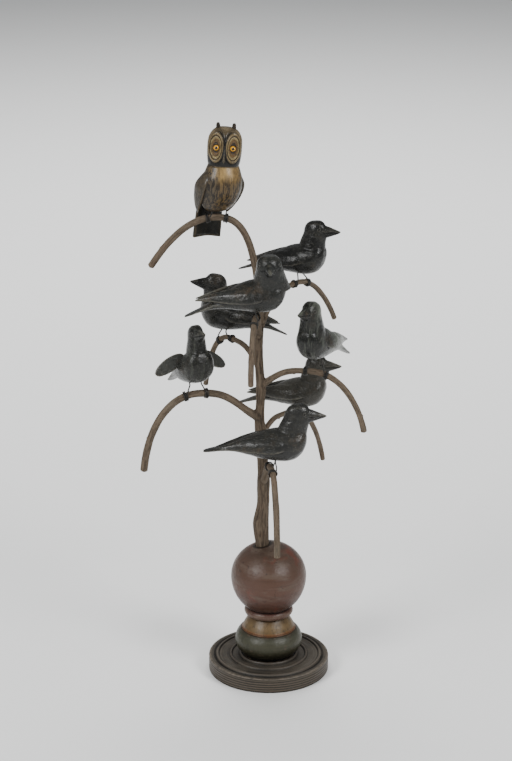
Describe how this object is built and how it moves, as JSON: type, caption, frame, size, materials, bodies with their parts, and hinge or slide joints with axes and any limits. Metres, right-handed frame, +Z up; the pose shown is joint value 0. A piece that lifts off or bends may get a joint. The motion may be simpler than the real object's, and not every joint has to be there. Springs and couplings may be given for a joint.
{
  "type": "bird tree carving",
  "caption": "Folk carving of a bare sapling on a turned ball stand and disc, its arching branches carrying a horned owl and black birds bound on by wire legs.",
  "frame": {"origin": "centre of the plinth disc's underside", "axes": "+Z up along the stand's turning axis, -Y toward the viewer, +X to the viewer's right"},
  "size_m": [0.2747, 0.2199, 0.7033],
  "materials": {
    "plinth_paint": "worn satin dark brown-black paint",
    "stand_paint": "worn satin oxblood paint, ochre neck and olive foot",
    "bark": "dry bare branch wood",
    "bird_paint": "crackled semi-gloss black paint",
    "owl_paint": "varnished ochre, brown and black paint",
    "eye_glass": "polished yellow glass with a black pupil",
    "ear_tuft": "matte black paint",
    "leg_wire": "blackened iron wire"
  },
  "bodies": {
    "root": {"plinth_disc": "plinth_paint", "turned_stand": "stand_paint", "tree": "bark", "upper_right_bird": "bird_paint", "upper_front_bird": "bird_paint", "upper_left_bird": "bird_paint", "middle_right_bird": "bird_paint", "lower_right_bird": "bird_paint", "lower_front_bird": "bird_paint", "spread_wing_bird": "bird_paint", "spread_wing_left": "bird_paint", "spread_wing_right": "bird_paint", "owl": "owl_paint", "owl_eye_left": "eye_glass", "owl_ear_left": "ear_tuft", "owl_eye_right": "eye_glass", "owl_ear_right": "ear_tuft", "upper_right_bird_leg_left": "leg_wire", "upper_right_bird_leg_right": "leg_wire", "upper_front_bird_leg_left": "leg_wire", "upper_front_bird_leg_right": "leg_wire", "upper_left_bird_leg_left": "leg_wire", "upper_left_bird_leg_right": "leg_wire", "middle_right_bird_leg_left": "leg_wire", "middle_right_bird_leg_right": "leg_wire", "lower_right_bird_leg_left": "leg_wire", "lower_right_bird_leg_right": "leg_wire", "lower_front_bird_leg_left": "leg_wire", "lower_front_bird_leg_right": "leg_wire", "spread_wing_bird_leg_left": "leg_wire", "spread_wing_bird_leg_right": "leg_wire", "owl_leg_left": "leg_wire", "owl_leg_right": "leg_wire"}
  },
  "joints": []
}
